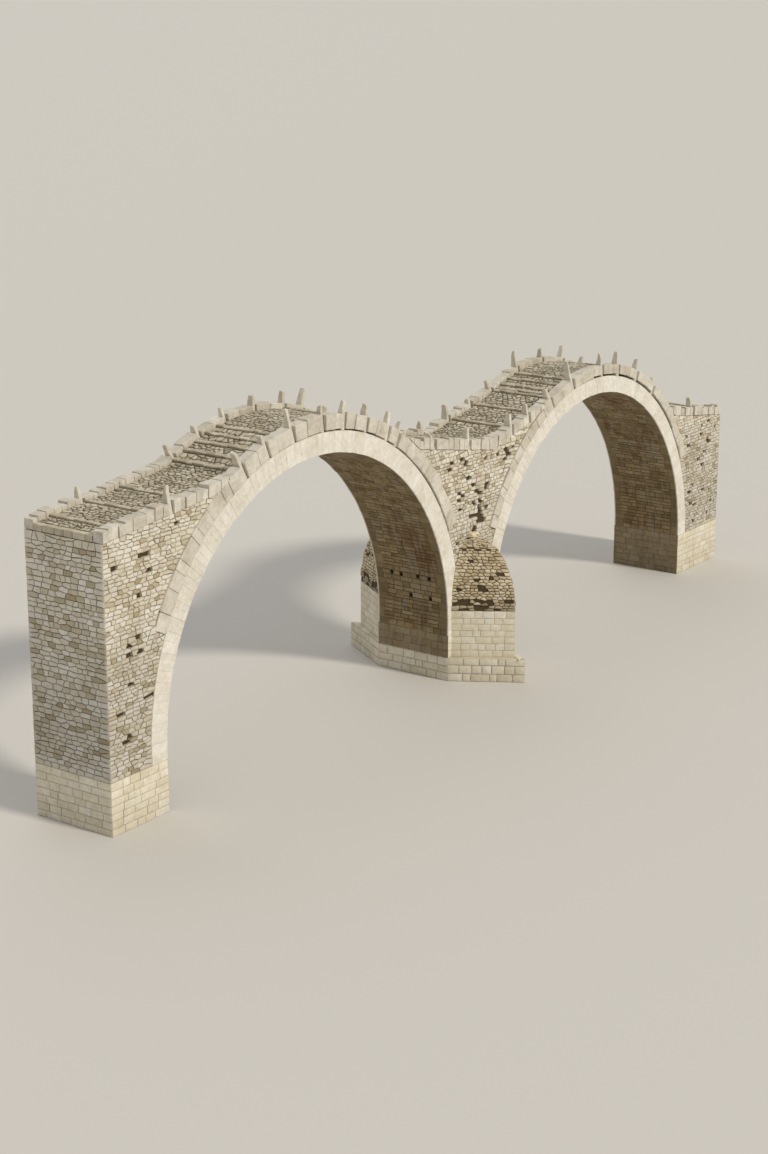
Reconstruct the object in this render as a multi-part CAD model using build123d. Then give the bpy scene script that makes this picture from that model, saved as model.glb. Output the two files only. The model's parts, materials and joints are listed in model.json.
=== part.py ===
from build123d import *
import math
import os

# A humpbacked stone footbridge of two unequal arches on one river pier.
# Millimetres. X runs along the bridge, Y across it and Z up from the lowest ground.
# The origin is at ground level under the middle of the bridge. The front looks along -Y.

# Arches, measured from the springing course at the pier's head
HALF_WIDTH = 1575
SPRINGING_HEIGHT = 1750
MAIN_INNER_RADIUS = 7820
MAIN_CENTRE_RISE = 450
MAIN_RING_DEPTH = 730
MAIN_HOOD_DEPTH = 580
RIGHT_INNER_RADIUS = 7450
RIGHT_CENTRE_RISE = 5
RIGHT_RING_DEPTH = 650
RIGHT_HOOD_DEPTH = 470
RING_WIDTH = 600
HOOD_END_ANGLE = 65
HOOD_OVERHANG = 60

# Supports
PIER_LENGTH = 3030
LEFT_ABUTMENT_LENGTH = 2580
RIGHT_ABUTMENT_LENGTH = 3550
FOOTING_HEIGHT = 900
CUTWATER_INSET = 200
CUTWATER_PROJECTION = 1950
FOOTING_PROJECTION = 2420
EAVE_RISE = 930
CAP_RISE = 2680
CAP_COURSES = 6
CAP_CREST_SHARE = 0.16

# Deck line, read on the top of the edge stones. Each slope runs from a low point, given as a fall below the
# crest of an arch, to the back of a hood, given as an angle from its crown
LEFT_END_FALL = 1680
LEFT_RAMP_ANGLE = 28.5
VALLEY_OFFSET = 1265
VALLEY_FALL = 2630
VALLEY_LEFT_ANGLE = 34.9
VALLEY_RIGHT_ANGLE = 23.3
RIGHT_END_FALL = 3375
RIGHT_RAMP_ANGLE = 46.4
RAMP_REACH_SHARE = 0.25

# Walls, kerbs and paving
EDGE_WIDTH = 360
KERB_DEPTH = 400
PAVING_DROP = 200
PAVING_THICKNESS = 180
PAVING_EASE = 200
PAVING_STATION = 500

# Step rows across the paving
STEP_LENGTH = 150
STEP_RISE = 80
STEP_PITCH_ANGLE = 3.7
FIRST_STEP_ANGLE = 11.5
STEPS_PER_FLANK = 6
SLOPE_STEP_PITCH = 1550
SLOPE_STEP_COUNT = 3

# Upright edge stones over the arches: degrees from the crown, and height over the hood in STONE_HEIGHTs
STONE_THICKNESS = 170
STONE_HEIGHT = 500
MAIN_FRONT_STONES = ((-25.7, 1.0), (-17.5, 0.56), (-8.6, 1.24), (1.9, 0.7), (9.5, 0.9), (18.0, 0.84),
                     (26.8, 0.98), (31.1, 0.76))
MAIN_BACK_STONES = ((-34.5, 0.8), (-26.0, 0.78), (-17.2, 0.52), (-8.2, 0.6), (1.3, 0.72), (11.6, 0.92),
                    (18.3, 1.32), (27.0, 0.72))
RIGHT_FRONT_STONES = ((-24.5, 0.94), (-13.2, 1.58), (2.7, 0.98), (11.7, 1.04), (22.8, 0.98), (34.2, 0.64))
RIGHT_BACK_STONES = ((-23.1, 0.72), (-9.7, 1.36), (3.0, 0.8), (14.3, 1.06), (25.5, 0.84))
# Upright edge stones on the slopes: share of the way from one crown or end to the next, and height as above
LEFT_SLOPE_FRONT_STONES = ((0.295, 1.04),)
LEFT_SLOPE_BACK_STONES = ((0.21, 0.66),)
VALLEY_FRONT_STONES = ((0.373, 0.44), (0.496, 0.9), (0.655, 0.88), (0.721, 0.72))
VALLEY_BACK_STONES = ((0.406, 0.6), (0.559, 0.7), (0.652, 0.98), (0.737, 0.32))
RIGHT_SLOPE_FRONT_STONES = ((0.76, 0.8),)
RIGHT_SLOPE_BACK_STONES = ((0.84, 0.66),)

# The rings are laid in short straight stretches of a few stones, this many to a full circle
ARCH_FACETS = 120
# Larger than any outline below, for cutting half planes
BEYOND = 100000

# Positions along the bridge, with its two ends the same distance from the origin
MAIN_SPAN = 2 * MAIN_INNER_RADIUS
RIGHT_SPAN = 2 * RIGHT_INNER_RADIUS
LENGTH = LEFT_ABUTMENT_LENGTH + MAIN_SPAN + PIER_LENGTH + RIGHT_SPAN + RIGHT_ABUTMENT_LENGTH
LEFT_END = -LENGTH / 2
RIGHT_END = LENGTH / 2
MAIN_X = LEFT_END + LEFT_ABUTMENT_LENGTH + MAIN_INNER_RADIUS
PIER_X = MAIN_X + MAIN_INNER_RADIUS + PIER_LENGTH / 2
RIGHT_X = PIER_X + PIER_LENGTH / 2 + RIGHT_INNER_RADIUS
EAVE_HEIGHT = SPRINGING_HEIGHT + EAVE_RISE
MAIN_Z = SPRINGING_HEIGHT + MAIN_CENTRE_RISE
RIGHT_Z = SPRINGING_HEIGHT + RIGHT_CENTRE_RISE
VALLEY_X = PIER_X + VALLEY_OFFSET
MAIN_CREST = MAIN_Z + MAIN_INNER_RADIUS + MAIN_RING_DEPTH + MAIN_HOOD_DEPTH
RIGHT_CREST = RIGHT_Z + RIGHT_INNER_RADIUS + RIGHT_RING_DEPTH + RIGHT_HOOD_DEPTH
LEFT_END_HEIGHT = MAIN_CREST - LEFT_END_FALL
VALLEY_HEIGHT = MAIN_CREST - VALLEY_FALL
RIGHT_END_HEIGHT = RIGHT_CREST - RIGHT_END_FALL
RING_INNER_FACE = HALF_WIDTH - RING_WIDTH
INNER_EDGE = HALF_WIDTH - EDGE_WIDTH
OUTER_EDGE = HALF_WIDTH + HOOD_OVERHANG


class Arch:
    """One arch: its centre and the radii of its intrados, ring back and hood back."""

    def __init__(self, name, x, z, inner, ring_depth, hood_depth):
        self.name = name
        self.x = x
        self.z = z
        self.inner = inner
        self.ring = inner + ring_depth
        self.hood = inner + ring_depth + hood_depth
        self.reach = RAMP_REACH_SHARE * self.hood


MAIN = Arch("main", MAIN_X, MAIN_Z, MAIN_INNER_RADIUS, MAIN_RING_DEPTH, MAIN_HOOD_DEPTH)
RIGHT = Arch("right", RIGHT_X, RIGHT_Z, RIGHT_INNER_RADIUS, RIGHT_RING_DEPTH, RIGHT_HOOD_DEPTH)
ARCHES = (MAIN, RIGHT)


# Outlines are drawn in X and Z on the XY plane, then set upright by between()

def between(outline, y_low, y_high):
    """The outline stood upright and run across the bridge from y_low to y_high."""
    upright = Plane.XZ.offset(-y_high) * outline
    return extrude(upright, amount=y_high - y_low, dir=(0, -1, 0))


def block(x_low, x_high, z_low, z_high):
    """A rectangle given by its sides."""
    return Pos((x_low + x_high) / 2, (z_low + z_high) / 2) * Rectangle(x_high - x_low, z_high - z_low)


def round_of(radius):
    """A full round of masonry, with a corner at its crown."""
    return RegularPolygon(radius, ARCH_FACETS)


def above_springing(outline):
    """The outline without what lies below the springing course."""
    return outline - block(-BEYOND, BEYOND, -BEYOND, SPRINGING_HEIGHT)


def stilted(arch, radius):
    """The half round of an arch at this radius with straight legs down to the springing course."""
    legs = block(arch.x - radius, arch.x + radius, 0, arch.z)
    return above_springing(Pos(arch.x, arch.z) * round_of(radius) + legs)


def slope_line(x, low_x, low_z, arch, angle):
    """The height at x of the slope from a low point to the back of an arch's hood, this far from its crown."""
    top_x = arch.x + arch.hood * math.sin(math.radians(angle))
    top_z = arch.z + arch.hood * math.cos(math.radians(angle))
    return low_z + (top_z - low_z) * (x - low_x) / (top_x - low_x)


def valley_left(x):
    """The slope that falls from the main arch to the valley."""
    return slope_line(x, VALLEY_X, VALLEY_HEIGHT, MAIN, VALLEY_LEFT_ANGLE)


def valley_right(x):
    """The slope that rises from the valley to the right arch."""
    return slope_line(x, VALLEY_X, VALLEY_HEIGHT, RIGHT, -VALLEY_RIGHT_ANGLE)


def slope_at(x):
    """The height at x of the slope that it lies on, as if no arch rose through it."""
    if x < MAIN.x:
        return slope_line(x, LEFT_END, LEFT_END_HEIGHT, MAIN, -LEFT_RAMP_ANGLE)
    if x < VALLEY_X:
        return valley_left(x)
    if x < RIGHT.x:
        return valley_right(x)
    return slope_line(x, RIGHT_END, RIGHT_END_HEIGHT, RIGHT, RIGHT_RAMP_ANGLE)


def slope(x_low, x_high, drop):
    """The masonry under one straight slope of the deck line lowered by drop, down to the springing course."""
    low_end = (x_low, slope_at(x_low) - drop)
    high_end = (x_high, slope_at(x_high) - drop)
    return Polygon((x_low, SPRINGING_HEIGHT), (x_high, SPRINGING_HEIGHT), high_end, low_end, align=None)


def deck(drop):
    """All the masonry under the deck line lowered by drop: the slopes and the crowns that rise above them."""
    outline = slope(LEFT_END, MAIN.x - MAIN.reach, drop)
    outline += slope(MAIN.x + MAIN.reach, VALLEY_X, drop)
    outline += slope(VALLEY_X, RIGHT.x - RIGHT.reach, drop)
    outline += slope(RIGHT.x + RIGHT.reach, RIGHT_END, drop)
    for arch in ARCHES:
        outline += above_springing(Pos(arch.x, arch.z) * round_of(arch.hood - drop))
    return outline


def eased(first, second):
    """The higher of two heights, rounded where they are nearly equal."""
    nearness = max(PAVING_EASE - abs(first - second), 0) / PAVING_EASE
    return max(first, second) + PAVING_EASE * nearness ** 2 / 4


def paving_height(x, drop):
    """The height of the walked surface lowered by drop, which runs smoothly over crowns and slopes."""
    height = 0
    if min(abs(x - arch.x) - arch.reach for arch in ARCHES) > 0:
        height = slope_at(x) - drop
    if MAIN.x < x < RIGHT.x and height:
        height = eased(valley_left(x), valley_right(x)) - drop
    for arch in ARCHES:
        radius = arch.hood - drop
        if abs(x - arch.x) < radius:
            height = eased(height, arch.z + math.sqrt(radius ** 2 - (x - arch.x) ** 2))
    return height


def walked(drop):
    """All the masonry under the walked surface lowered by drop."""
    count = round(LENGTH / PAVING_STATION)
    stations = [LEFT_END + LENGTH * step / count for step in range(count + 1)]
    line = [(x, paving_height(x, drop)) for x in stations]
    return Polygon((LEFT_END, SPRINGING_HEIGHT), *line, (RIGHT_END, SPRINGING_HEIGHT), align=None)


def hood_sector(arch):
    """The second ring over an arch, from the ring's back to the hood's back."""
    reach = 2 * arch.hood
    side = math.radians(HOOD_END_ANGLE)
    spread = (reach * math.sin(side), reach * math.cos(side))
    tip = (0, 0)
    wedge = Polygon(tip, spread, (spread[0], reach), (-spread[0], reach), (-spread[0], spread[1]), align=None)
    return (round_of(arch.hood) - round_of(arch.ring)) & wedge


def crown_stones(arch, stones):
    """Upright stones that stand on the ring's back and point away from the arch's centre."""
    outlines = []
    root = arch.ring - STONE_THICKNESS
    for angle, share in stones:
        tall = arch.hood + share * STONE_HEIGHT - root
        bar = Pos(0, root + tall / 2) * Rectangle(STONE_THICKNESS, tall)
        turned = Pos(arch.x, arch.z) * Rot(0, 0, -angle) * bar
        outlines.append(turned - stilted(arch, arch.ring))
    return outlines


def slope_stones(x_from, x_to, stones):
    """Upright stones that stand on the spandrel wall between the kerb stones."""
    outlines = []
    for way, share in stones:
        x = x_from + way * (x_to - x_from)
        line = slope_at(x)
        half = STONE_THICKNESS / 2
        bar = block(x - half, x + half, line - 2 * KERB_DEPTH, line + share * STONE_HEIGHT)
        outlines.append(bar - deck(KERB_DEPTH))
    return outlines


def joined(outlines):
    """One sketch of several outlines."""
    whole = outlines[0]
    for outline in outlines[1:]:
        whole += outline
    return whole


# Supports

def cutwater_plan(side, projection):
    """The three-cornered plan of a cutwater, with its nose upstream or downstream."""
    half = PIER_LENGTH / 2 - CUTWATER_INSET
    wall = side * HALF_WIDTH
    nose = side * (HALF_WIDTH + projection)
    return Polygon((PIER_X - half, wall), (PIER_X + half, wall), (PIER_X, nose), align=None)


def cutwater(side):
    """The smooth coursed prism in front of the pier."""
    return extrude(Pos(0, 0, FOOTING_HEIGHT) * cutwater_plan(side, CUTWATER_PROJECTION),
                   amount=EAVE_HEIGHT - FOOTING_HEIGHT, dir=(0, 0, 1))


def cutwater_cap(side):
    """The rubble cap that rounds back from the eave to the wall, like half a helmet."""
    half = PIER_LENGTH / 2 - CUTWATER_INSET
    wall = side * HALF_WIDTH
    sections = []
    for course in range(CAP_COURSES + 1):
        share = course / CAP_COURSES
        swell = math.sqrt(1 - share ** 2)
        width = half * (CAP_CREST_SHARE + (1 - CAP_CREST_SHARE) * swell)
        depth = CUTWATER_PROJECTION * (CAP_CREST_SHARE / 2 + (1 - CAP_CREST_SHARE / 2) * swell)
        nose = wall + side * depth
        plan = Polygon((PIER_X - width, wall), (PIER_X + width, wall), (PIER_X, nose), align=None)
        sections.append(Pos(0, 0, EAVE_HEIGHT + share * CAP_RISE) * plan)
    return loft(sections, ruled=True)


def pier_footing():
    """The spread base under the pier and its cutwaters."""
    half = PIER_LENGTH / 2
    nose = HALF_WIDTH + FOOTING_PROJECTION
    front = ((-half, -HALF_WIDTH), (0, -nose), (half, -HALF_WIDTH))
    back = ((half, HALF_WIDTH), (0, nose), (-half, HALF_WIDTH))
    plan = Pos(PIER_X, 0) * Polygon(*front, *back, align=None)
    return extrude(plan, amount=FOOTING_HEIGHT, dir=(0, 0, 1))


def plain_mass(x_low, x_high, z_low):
    """A rectangular mass of masonry up to the springing course."""
    return between(block(x_low, x_high, z_low, SPRINGING_HEIGHT), -HALF_WIDTH, HALF_WIDTH)


# Deck

def crown_steps(arch):
    """Step rows on both flanks of a crown."""
    paving = arch.hood - PAVING_DROP
    rows = []
    for count in range(STEPS_PER_FLANK):
        for flank in (-1, 1):
            angle = flank * (FIRST_STEP_ANGLE + count * STEP_PITCH_ANGLE)
            row = Pos(0, paving) * Rectangle(STEP_LENGTH, 2 * STEP_RISE)
            rows.append(Pos(arch.x, arch.z) * Rot(0, 0, -angle) * row)
    return rows


def slope_steps(x_first, direction):
    """Step rows along a gentle slope, away from x_first."""
    rows = []
    for count in range(SLOPE_STEP_COUNT):
        x = x_first + direction * count * SLOPE_STEP_PITCH
        level = paving_height(x, PAVING_DROP)
        rows.append(block(x - STEP_LENGTH / 2, x + STEP_LENGTH / 2, level - 2 * STEP_RISE, level + STEP_RISE))
    return rows


def build():
    """Every sub-part by its name."""
    parts = {}
    parts["pier_footing"] = pier_footing()
    parts["pier_shaft"] = plain_mass(PIER_X - PIER_LENGTH / 2, PIER_X + PIER_LENGTH / 2, FOOTING_HEIGHT)
    parts["left_abutment"] = plain_mass(LEFT_END, MAIN.x - MAIN.inner, 0)
    parts["right_abutment"] = plain_mass(RIGHT.x + RIGHT.inner, RIGHT_END, 0)

    strips = {"front": (-OUTER_EDGE, -INNER_EDGE), "back": (INNER_EDGE, OUTER_EDGE)}
    walls = {"front": (-HALF_WIDTH, -INNER_EDGE), "back": (INNER_EDGE, HALF_WIDTH)}
    ring_strips = {"front": (-HALF_WIDTH, -RING_INNER_FACE), "back": (RING_INNER_FACE, HALF_WIDTH)}
    stones = {
        "main_upright_stones_front": crown_stones(MAIN, MAIN_FRONT_STONES),
        "main_upright_stones_back": crown_stones(MAIN, MAIN_BACK_STONES),
        "right_upright_stones_front": crown_stones(RIGHT, RIGHT_FRONT_STONES),
        "right_upright_stones_back": crown_stones(RIGHT, RIGHT_BACK_STONES),
    }
    stones["main_upright_stones_front"] += slope_stones(LEFT_END, MAIN.x, LEFT_SLOPE_FRONT_STONES)
    stones["main_upright_stones_back"] += slope_stones(LEFT_END, MAIN.x, LEFT_SLOPE_BACK_STONES)
    stones["right_upright_stones_front"] += slope_stones(MAIN.x, RIGHT.x, VALLEY_FRONT_STONES)
    stones["right_upright_stones_front"] += slope_stones(RIGHT.x, RIGHT_END, RIGHT_SLOPE_FRONT_STONES)
    stones["right_upright_stones_back"] += slope_stones(MAIN.x, RIGHT.x, VALLEY_BACK_STONES)
    stones["right_upright_stones_back"] += slope_stones(RIGHT.x, RIGHT_END, RIGHT_SLOPE_BACK_STONES)

    hoods = {arch: Pos(arch.x, arch.z) * hood_sector(arch) for arch in ARCHES}
    both_hoods = hoods[MAIN] + hoods[RIGHT]
    both_arches = stilted(MAIN, MAIN.ring) + stilted(RIGHT, RIGHT.ring)
    wall_outline = deck(KERB_DEPTH) - both_arches - both_hoods
    kerb_outline = deck(0) - deck(KERB_DEPTH) - both_hoods
    bed_drop = PAVING_DROP + PAVING_THICKNESS
    fill_outline = walked(bed_drop) - both_arches
    paving_top = walked(PAVING_DROP)
    paving_outline = paving_top - walked(bed_drop)
    reaches = {
        "left": block(-BEYOND, MAIN.x, 0, BEYOND),
        "middle": block(MAIN.x, RIGHT.x, 0, BEYOND),
        "right": block(RIGHT.x, BEYOND, 0, BEYOND),
    }

    for arch in ARCHES:
        ring = stilted(arch, arch.ring) - stilted(arch, arch.inner)
        sides = {"left": block(-BEYOND, arch.x, 0, BEYOND), "right": block(arch.x, BEYOND, 0, BEYOND)}
        for half, half_plane in sides.items():
            outline = ring & half_plane
            parts[f"{arch.name}_vault_{half}"] = between(outline, -RING_INNER_FACE, RING_INNER_FACE)
            for face, strip in ring_strips.items():
                parts[f"{arch.name}_ring_{face}_{half}"] = between(outline, *strip)
    for face, strip in strips.items():
        uprights = joined(stones[f"main_upright_stones_{face}"] + stones[f"right_upright_stones_{face}"])
        parts[face + "_kerb"] = between(kerb_outline - uprights, *strip)
        for arch in ARCHES:
            parts[f"{arch.name}_hood_{face}"] = between(hoods[arch] - uprights, *strip)
            name = f"{arch.name}_upright_stones_{face}"
            parts[name] = between(joined(stones[name]), *strip)
        for reach, half_plane in reaches.items():
            parts[f"{reach}_spandrel_{face}"] = between((wall_outline & half_plane) - uprights, *walls[face])
    for reach, half_plane in reaches.items():
        parts[reach + "_fill"] = between(fill_outline & half_plane, -INNER_EDGE, INNER_EDGE)

    before_valley = block(-BEYOND, VALLEY_X, 0, BEYOND)
    parts["main_paving"] = between(paving_outline & before_valley, -INNER_EDGE, INNER_EDGE)
    parts["right_paving"] = between(paving_outline - before_valley, -INNER_EDGE, INNER_EDGE)
    left_rows = slope_steps(LEFT_END + SLOPE_STEP_PITCH / 2, 1)
    valley_rows = slope_steps(VALLEY_X + SLOPE_STEP_PITCH, 1)
    right_rows = slope_steps(RIGHT_END - SLOPE_STEP_PITCH / 2, -1)
    main_rows = joined(crown_steps(MAIN) + left_rows) - paving_top
    other_rows = joined(crown_steps(RIGHT) + valley_rows + right_rows) - paving_top
    parts["main_step_rows"] = between(main_rows, -INNER_EDGE, INNER_EDGE)
    parts["right_step_rows"] = between(other_rows, -INNER_EDGE, INNER_EDGE)
    for side, name in ((-1, "front"), (1, "back")):
        parts[name + "_cutwater"] = cutwater(side)
        parts[name + "_cutwater_cap"] = cutwater_cap(side)
    return parts


os.makedirs("parts", exist_ok=True)
for node, solid in build().items():
    export_step(solid, "parts/" + node + ".step")
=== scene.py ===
import json
import math
import random

import bmesh
import bpy
import numpy as np
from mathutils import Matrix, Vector
from mathutils.bvhtree import BVHTree
from mathutils.kdtree import KDTree


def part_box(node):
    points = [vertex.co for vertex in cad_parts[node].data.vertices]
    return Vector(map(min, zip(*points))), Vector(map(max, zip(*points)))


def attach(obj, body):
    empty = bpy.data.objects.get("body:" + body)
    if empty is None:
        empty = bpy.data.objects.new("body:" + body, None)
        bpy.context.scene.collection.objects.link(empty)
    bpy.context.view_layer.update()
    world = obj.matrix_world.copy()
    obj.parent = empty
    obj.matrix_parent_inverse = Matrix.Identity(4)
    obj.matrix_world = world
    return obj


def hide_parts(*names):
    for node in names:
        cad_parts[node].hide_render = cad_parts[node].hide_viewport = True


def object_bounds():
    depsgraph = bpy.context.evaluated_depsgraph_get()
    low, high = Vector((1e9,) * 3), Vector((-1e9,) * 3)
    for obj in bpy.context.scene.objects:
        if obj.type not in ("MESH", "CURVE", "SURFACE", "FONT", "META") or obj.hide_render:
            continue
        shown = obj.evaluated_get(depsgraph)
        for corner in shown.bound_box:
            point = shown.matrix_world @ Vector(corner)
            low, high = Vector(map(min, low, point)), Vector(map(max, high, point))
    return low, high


# A humpbacked stone footbridge, dressed stone by stone. Metres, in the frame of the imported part:
# X along the bridge, Y across it towards the back, Z up from the lowest ground.

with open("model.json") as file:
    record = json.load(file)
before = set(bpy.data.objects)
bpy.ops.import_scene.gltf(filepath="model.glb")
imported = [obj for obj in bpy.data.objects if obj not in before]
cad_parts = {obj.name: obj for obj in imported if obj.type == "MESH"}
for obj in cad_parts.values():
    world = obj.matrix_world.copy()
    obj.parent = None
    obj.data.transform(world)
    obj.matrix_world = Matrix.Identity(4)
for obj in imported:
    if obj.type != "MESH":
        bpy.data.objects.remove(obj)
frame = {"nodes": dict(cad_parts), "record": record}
CAD_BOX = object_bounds()
NODES = frame["nodes"]
draw = random.Random(11)
between = draw.uniform


# Places read from the frame

def low(node):
    """The lowest corner of a node's box."""
    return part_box(node)[0]


def high(node):
    """The highest corner of a node's box."""
    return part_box(node)[1]


HALF_WIDTH = high("pier_shaft").y
SPRINGING = high("pier_shaft").z
FOOTING_TOP = low("pier_shaft").z
LEFT_END = low("left_abutment").x
RIGHT_END = high("right_abutment").x
PIER_X = (low("pier_shaft").x + high("pier_shaft").x) / 2
VALLEY_X = high("main_paving").x
PAVED_HALF = high("main_paving").y
EDGE_FACE = high("back_kerb").y
EAVE = high("front_cutwater").z
ABOVE_ALL = CAD_BOX[1].z + 1
FAR_OFF = 1000
FACES = (("front", -1), ("back", 1))

# Sizes of the stonework
COURSE = 0.31
CORNER = 0.014
POCKET_DEPTH = 0.08
PUTLOG_SIZE = 0.13
PUTLOG_DEPTH = 0.35
SILL_LENGTH = 0.2
# The dark joint that parts the hood's blocks from the ring below and from the upright stones
OPEN_JOINT = 0.02
# How far each hood has come away from its ring, right of the crown
SETTLED = {"main": 0.025, "right": 0.06}
# Holes that the builders' scaffold left in the pier's side of the main arch, as Y and Z
PUTLOG_HOLES = ((-0.84, 3.87), (-0.34, 3.9), (0.42, 3.85), (0.84, 3.88), (-0.82, 3.04), (0.06, 3.06))
# Places on the front where many face stones are gone, as X, Z and reach
WORN_PATCHES = ((0.25, 5.95, 0.75), (-1.15, 6.65, 0.55), (2.4, 7.9, 0.6))
# The share of face stones gone in the middle of such a patch, and elsewhere on each wall
PATCH_LOSS = 0.7
LOSS = {"left": 0.04, "middle": 0.09, "right": 0.05}
# The height up a cap that its eaten eave reaches, and the share of its stones gone there and above
EATEN_HEIGHT = 0.42
EAVE_LOSS = 0.4
CAP_LOSS = 0.07
# Edges that turn by more than this, in radians, stay sharp
SHARP_ANGLE = 0.6
# How many stones, itself among them, may shape one, and the least part of a usual stone's area it has
NEIGHBOURS = 22
LEAST_AREA = 0.12
# A stone whose area is less than this times the length of its outline has narrower arrises
SLIM = 0.016
# Border lines whose ways have a larger cosine than this count as one
SAME_WAY = 0.94
# A border line counts as beside a point up to this far past its ends
OVERRUN = 0.03
# How far off its own face the search for masonry in front of a stone starts
CLEAR = 0.02


def cuts(start, end, size, looseness=0.28):
    """Places that divide a length into stones of about this size."""
    count = max(1, round((end - start) / size))
    steps = [step + looseness * between(-1, 1) for step in range(1, count)]
    return [start, *[start + (end - start) * step / count for step in steps], end]


def pairs(places):
    """Each place with the next."""
    return list(zip(places, places[1:]))


def sides(corners):
    """Each corner of a loop with the next."""
    return list(zip(corners, corners[1:] + corners[:1]))


def rectangle(u_low, u_high, v_low, v_high):
    """The corners of a rectangle, anticlockwise."""
    return [(u_low, v_low), (u_high, v_low), (u_high, v_high), (u_low, v_high)]


class Arch:
    """One arch, and the lines of its courses, which its rings and its vault share."""

    def __init__(self, name, springing_x):
        left = low(f"{name}_ring_front_left")
        right = high(f"{name}_ring_front_right")
        self.name = name
        self.x = (left.x + right.x) / 2
        self.z = right.z - (right.x - left.x) / 2
        self.inner = abs(self.x - springing_x)
        self.ring_depth = (right.x - left.x) / 2 - self.inner
        self.hood_depth = high(f"{name}_hood_front").z - self.z - self.inner
        self.stilt = self.z - SPRINGING
        self.length = 2 * self.stilt + math.pi * self.inner
        self.eye = (self.x, 0, self.z)
        self.courses = cuts(0, self.length, COURSE)
        self.returns = {face: [between(0.26, 0.48) for course in self.courses[1:]] for face, side in FACES}

    def run(self, angle):
        """How far along the intrados a point at this angle from its right end lies."""
        return self.stilt + self.inner * (math.pi - angle)

    def place(self, run, out, y):
        """The point this far along the intrados, outside it and across the bridge."""
        angle = min(max(math.pi - (run - self.stilt) / self.inner, 0), math.pi)
        under = max(self.stilt - run, run - self.length + self.stilt, 0)
        reach = self.inner + out
        return self.x + reach * math.cos(angle), y, self.z + reach * math.sin(angle) - under


MAIN = Arch("main", high("left_abutment").x)
RIGHT = Arch("right", low("right_abutment").x)
ARCHES = (MAIN, RIGHT)


def solids_of(names):
    """A tree for finding where a line meets these nodes."""
    points = []
    triangles = []
    for name in names:
        mesh = NODES[name].data
        triangles += [[len(points) + index for index in face.vertices] for face in mesh.polygons]
        points += [vertex.co.copy() for vertex in mesh.vertices]
    return BVHTree.FromPolygons(points, triangles)


EVERYTHING = solids_of(NODES)
PAVING = solids_of(["main_paving", "right_paving"])


def covered(corners, eye):
    """Whether a stone of a face lies wholly behind masonry that touches it."""
    for corner in corners:
        way = (Vector(eye) - Vector(corner)).normalized()
        normal = EVERYTHING.ray_cast(Vector(corner) + CLEAR * way, way)[1]
        if normal is None or normal.dot(way) < 0:
            return False
    return True


def islands(node):
    """The separate solids of a node, each as an array of its corners."""
    mesh = NODES[node].data
    home = {}

    def root(key):
        while home[key] != key:
            key = home[key]
        return key

    for face in mesh.polygons:
        keys = [tuple(round(value, 4) for value in mesh.vertices[index].co) for index in face.vertices]
        for key in keys:
            home.setdefault(key, key)
        for key in keys[1:]:
            home[root(key)] = root(keys[0])
    groups = {}
    for key in home:
        groups.setdefault(root(key), []).append(key)
    return [np.array(group) for group in sorted(groups.values())]


# The walked surface, by how far along it a point lies
DECK_X = np.linspace(LEFT_END + 0.001, RIGHT_END - 0.001, 401)
DECK_Z = np.array([PAVING.ray_cast(Vector((x, 0, ABOVE_ALL)), Vector((0, 0, -1)))[0].z for x in DECK_X])
DECK_RUN = np.concatenate([[0], np.cumsum(np.hypot(np.diff(DECK_X), np.diff(DECK_Z)))])
DECK_TILT = np.arctan(np.gradient(DECK_Z, DECK_X))


def on_deck(y, run, up=0.0):
    """The point this far across the deck, along it and above it."""
    tilt = np.interp(run, DECK_RUN, DECK_TILT)
    x = np.interp(run, DECK_RUN, DECK_X)
    z = np.interp(run, DECK_RUN, DECK_Z)
    return x - up * math.sin(tilt), y, z + up * math.cos(tilt)


# Outlines of fitted stones, drawn flat in a surface's own two directions

def clipped(outline, along, up, limit):
    """What is left of an outline where along * u + up * v stays under a limit."""
    kept = []
    for (au, av), (bu, bv) in sides(outline):
        a = along * au + up * av - limit
        b = along * bu + up * bv - limit
        if a <= 0:
            kept.append((au, av))
        if a * b < 0:
            share = a / (a - b)
            kept.append((au + share * (bu - au), av + share * (bv - av)))
    return kept


def loop_region(corners):
    """A region as its border lines, with the inside on their left."""
    return np.array([(*a, *b) for a, b in sides(corners)], float)


def side_region(node, side):
    """The region in X and Z that a node's outermost front or back face makes."""
    mesh = NODES[node].data
    lines = {}
    for face in mesh.polygons:
        corners = [mesh.vertices[index].co for index in face.vertices]
        if min(side * corner.y for corner in corners) < HALF_WIDTH - 0.001:
            continue
        loop = [(round(corner.x, 4), round(corner.z, 4)) for corner in corners][::-side]
        for a, b in sides(loop):
            if lines.pop((b, a), None) is None:
                lines[(a, b)] = True
    return np.array([(*a, *b) for a, b in lines], float)


def inside(region, u, v):
    """Whether a point lies in a region."""
    crosses = (region[:, 1] > v) != (region[:, 3] > v)
    rise = np.where(crosses, region[:, 3] - region[:, 1], 1)
    at = region[:, 0] + (v - region[:, 1]) * (region[:, 2] - region[:, 0]) / rise
    return np.count_nonzero(crosses & (at > u)) % 2 == 1


def borders(region, u, v, reach):
    """How far off a region's border is, and its lines beside a point, nearest first, as limits."""
    way = region[:, 2:] - region[:, :2]
    size = np.maximum(np.hypot(way[:, 0], way[:, 1]), 1e-9)
    offset = np.array((u, v)) - region[:, :2]
    along = (offset * way).sum(1) / size ** 2
    share = np.clip(along, 0, 1)
    gaps = np.hypot(*(offset - share[:, None] * way).T)
    beyond = np.abs(along - share) * size > OVERRUN
    found = []
    for index in np.argsort(gaps):
        if gaps[index] > reach:
            break
        out = np.array((way[index][1], -way[index][0])) / size[index]
        if beyond[index] or offset[index] @ out > 0 or any(out @ other[:2] > SAME_WAY for other in found):
            continue
        found.append(np.array((*out, out @ region[index][:2])))
    return gaps.min(), found


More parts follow.
